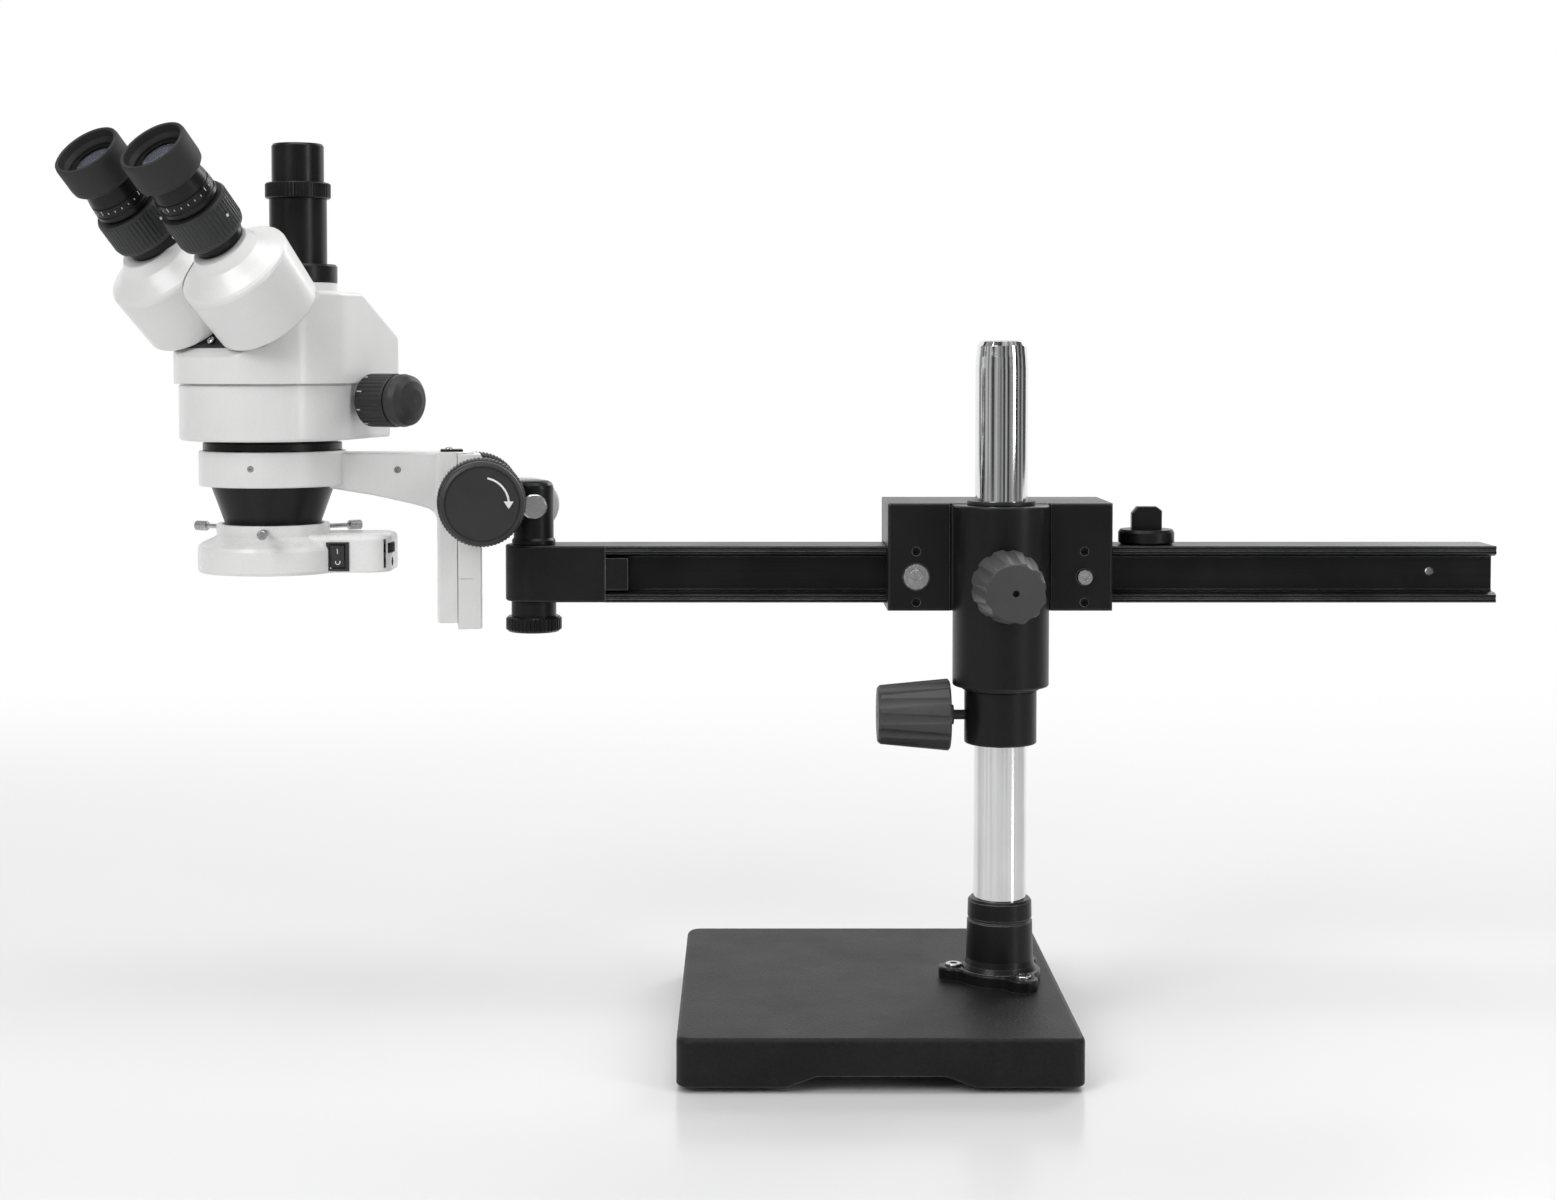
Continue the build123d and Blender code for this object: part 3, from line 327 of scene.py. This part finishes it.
# inlet sleeve and its centre pin
bm = bmesh.new()
at = LIGHT @ seat((0, -9.0, 285.2), (0, 1, 0), (1, 0, 0))
add_turned(bm, [(0.0, 71.2), (2.85, 71.2), (2.85, 75.7), (2.3, 75.7), (2.3, 72.6), (0.0, 72.6)], 28, at)
piece("inlet_sleeve", bm, Matrix.Identity(4), M["black_plastic"], "ring_light")
bm = bmesh.new()
add_turned(bm, [(0.0, 72.4), (0.75, 72.4), (0.75, 74.9), (0.45, 75.2), (0.0, 75.2)], 20, at)
piece("inlet_pin", bm, Matrix.Identity(4), M["steel"], "ring_light")

# pan screw on the dark plate between the eyepiece housings
def pan_screw(name, at, r, h, body):
    bm = bmesh.new()
    prof = [(0.0, -0.3), (r, -0.3), (r, h * 0.35), (r * 0.93, h * 0.65), (r * 0.75, h * 0.88), (r * 0.45, h), (r * 0.4, h), (0.0, h * 0.45)]
    add_turned(bm, prof, 36, at)
    piece(name, bm, Matrix.Identity(4), M["steel"], body)
    # painted shade: dull black blocks stand in for the shaded cross recess in the screw head
    bm = bmesh.new()
    add_block(bm, -r * 0.5, r * 0.5, -r * 0.1, r * 0.1, h * 0.4, h + 0.03, at)
    add_block(bm, -r * 0.1, r * 0.1, -r * 0.5, r * 0.5, h * 0.4, h + 0.03, at)
    piece(name + "_painted_shade_cross", bm, Matrix.Identity(4), dull_black_and_painted_shade, body)


pan_screw("deck_screw", DECK @ move(0, 24.0, 0.6), 2.5, 1.3, "head")

# dark end plate on top of the moving slide, with its screw
bm = bmesh.new()
add_block(bm, -57.4, -43.4, 13.4, 26.6, 352.3, 353.9)
piece("slide_end_plate", bm, ARM, M["black_anodised"], "arm", 0.4)
pan_screw("slide_end_screw", ARM @ move(-52.0, 20.0, 353.9), 2.5, 1.3, "arm")

# ticks on the zoom knobs, the diopter rings and the eyepieces
for tag, sy, off in (("near", -1, 150), ("far", 1, 30)):
    at = HEAD @ seat((33.5, sy * 51.6, 385.0), (1, 0, 0), (0, sy, 0))
    bm = bmesh.new()
    for i in range(9):
        long = 3.6 if i % 4 == 0 else 2.2
        add_block(bm, 16.45, 16.80, -0.35, 0.35, 2.2, 2.2 + long, at @ turn(i * 40))
    piece("zoom_ticks_" + tag, bm, Matrix.Identity(4), mark, "zoom_drive")
    at = EYE[tag]
    bm = bmesh.new()
    for i in range(24):
        long = 3.4 if i % 6 == 0 else 1.9
        add_block(bm, 17.0, 17.45, -0.22, 0.22, 92.9, 92.9 + long, at @ turn(i * 15))
    piece("eyepiece_scale_" + tag, bm, Matrix.Identity(4), mark, "eye_" + tag)
    bm = bmesh.new()
    for i in range(3):
        for j in range(-3, 4):
            if abs(j) < 3 or i == 0:
                add_block(bm, 15.86, 15.99, -0.16, 0.16, 106.1 + 0.0, 107.4, at @ turn(i * 120 + j * 5))
    piece("eyepiece_marks_" + tag, bm, Matrix.Identity(4), mark, "eye_" + tag)
    bm = bmesh.new()
    for i in range(3):
        add_turned(bm, [(0.0, 0.0), (0.9, 0.0), (0.9, 0.5), (0.0, 0.5)], 20, at @ turn(i * 120 + 60) @ seat((20.45, 0, 75.0), (0, 0, 1), (1, 0, 0)))
    piece("diopter_dots_" + tag, bm, Matrix.Identity(4), mark, "diopter_" + tag)
    # dull black inside of the eyepiece tube, under the lens
    bm = bmesh.new()
    add_turned(bm, ring_profile(7.4, 11.1, 114.6, 115.6), 48, at)
    piece("field_stop_" + tag, bm, Matrix.Identity(4), dull_black_and_painted_shade, "eye_" + tag)


# ------------------------------------------------ floor and backdrop
def floor_material():
    m = bpy.data.materials.new("pale_floor")
    m.use_nodes = True
    t = m.node_tree
    n, k = t.nodes, t.links
    n.clear()
    out = n.new("ShaderNodeOutputMaterial")
    p = n.new("ShaderNodeBsdfPrincipled")
    em = n.new("ShaderNodeEmission")
    em.inputs["Strength"].default_value = 1.0
    em.inputs["Color"].default_value = (1, 1, 1, 1)
    mix = n.new("ShaderNodeMixShader")
    tc = n.new("ShaderNodeTexCoord")
    no = n.new("ShaderNodeTexNoise")
    no.inputs["Scale"].default_value = 3.0
    k.new(tc.outputs["Object"], no.inputs["Vector"])
    ra = n.new("ShaderNodeValToRGB")
    ra.color_ramp.elements[0].color = (0.80, 0.80, 0.80, 1)
    ra.color_ramp.elements[1].color = (0.84, 0.84, 0.84, 1)
    k.new(no.outputs["Fac"], ra.inputs[0])
    k.new(ra.outputs[0], p.inputs["Base Color"])
    p.inputs["Roughness"].default_value = 0.22
    p.inputs["Specular IOR Level"].default_value = 0.4
    sp = n.new("ShaderNodeSeparateXYZ")
    k.new(tc.outputs["Object"], sp.inputs[0])
    r = n.new("ShaderNodeMapRange")
    r.interpolation_type = "SMOOTHSTEP"
    r.inputs["From Min"].default_value = 0.15
    r.inputs["From Max"].default_value = 1.5
    k.new(sp.outputs["Y"], r.inputs["Value"])
    k.new(r.outputs[0], mix.inputs[0])
    k.new(p.outputs[0], mix.inputs[1])
    k.new(em.outputs[0], mix.inputs[2])
    k.new(mix.outputs[0], out.inputs[0])
    return m


def flat(name, corners, mat):
    me = bpy.data.meshes.new(name)
    me.from_pydata(corners, [], [tuple(range(len(corners)))])
    ob = bpy.data.objects.new(name, me)
    scene.collection.objects.link(ob)
    me.materials.append(mat)
    return ob


flat("floor", [(-6, -4, -0.0002), (6, -4, -0.0002), (6, 4, -0.0002), (-6, 4, -0.0002)], floor_material())
wall = bpy.data.materials.new("white_backdrop")
wall.use_nodes = True
wall.node_tree.nodes.clear()
o = wall.node_tree.nodes.new("ShaderNodeOutputMaterial")
e = wall.node_tree.nodes.new("ShaderNodeEmission")
e.inputs["Strength"].default_value = 1.0
wall.node_tree.links.new(e.outputs[0], o.inputs[0])
flat("backdrop", [(-6, 4, -0.01), (6, 4, -0.01), (6, 4, 5), (-6, 4, 5)], wall)

# ------------------------------------------------ light
world = bpy.data.worlds.new("studio")
scene.world = world
world.use_nodes = True
bg = [x for x in world.node_tree.nodes if x.type == "BACKGROUND"][0]
wt = world.node_tree
wc = wt.nodes.new("ShaderNodeTexCoord")
wm = wt.nodes.new("ShaderNodeMapping")
wm.inputs["Scale"].default_value = (2.6, 2.6, 0.22)
wn = wt.nodes.new("ShaderNodeTexNoise")
wn.inputs["Scale"].default_value = 1.9
wn.inputs["Detail"].default_value = 2.5
wr = wt.nodes.new("ShaderNodeValToRGB")
wr.color_ramp.elements[0].position = 0.42
wr.color_ramp.elements[0].color = (0.05, 0.05, 0.05, 1)
wr.color_ramp.elements[1].position = 0.62
wr.color_ramp.elements[1].color = (0.62, 0.62, 0.62, 1)
wt.links.new(wc.outputs["Generated"], wm.inputs["Vector"])
wt.links.new(wm.outputs[0], wn.inputs["Vector"])
wt.links.new(wn.outputs["Fac"], wr.inputs[0])
wt.links.new(wr.outputs[0], bg.inputs[0])
bg.inputs[1].default_value = 0.9


def softbox(name, at, to, w, h, power):
    li = bpy.data.lights.new(name, "AREA")
    li.shape = "RECTANGLE"
    li.size, li.size_y = w, h
    li.energy = power
    ob = bpy.data.objects.new(name, li)
    scene.collection.objects.link(ob)
    ob.location = at
    ob.rotation_euler = (Vector(to) - Vector(at)).to_track_quat("-Z", "Y").to_euler()
    return ob


softbox("key", (-1.3, -1.5, 1.5), (-0.15, 0, 0.3), 0.9, 1.2, 21)
softbox("top", (-0.15, -0.25, 1.9), (-0.1, 0.0, 0), 1.5, 0.8, 13)
softbox("fill", (1.6, -1.2, 0.9), (0.05, 0, 0.28), 0.35, 1.3, 10)
softbox("rim", (0.9, 1.3, 1.3), (0, 0, 0.3), 0.5, 0.9, 8)

# ------------------------------------------------ camera
cam = bpy.data.cameras.new("camera")
cam.sensor_width = 36.0
cam.lens = 2300.0 / 1556.0 * 36.0
cam.shift_x = 0.018
cam.shift_y = -0.0985
cam.clip_start = 0.05
cam.clip_end = 60.0
co = bpy.data.objects.new("camera", cam)
scene.collection.objects.link(co)
co.location = (-0.0735, -1.3986, 0.411)
co.rotation_euler = (math.radians(90 - 2.2), 0, 0)
scene.camera = co
scene.view_settings.view_transform = "Standard"
scene.view_settings.look = "None"
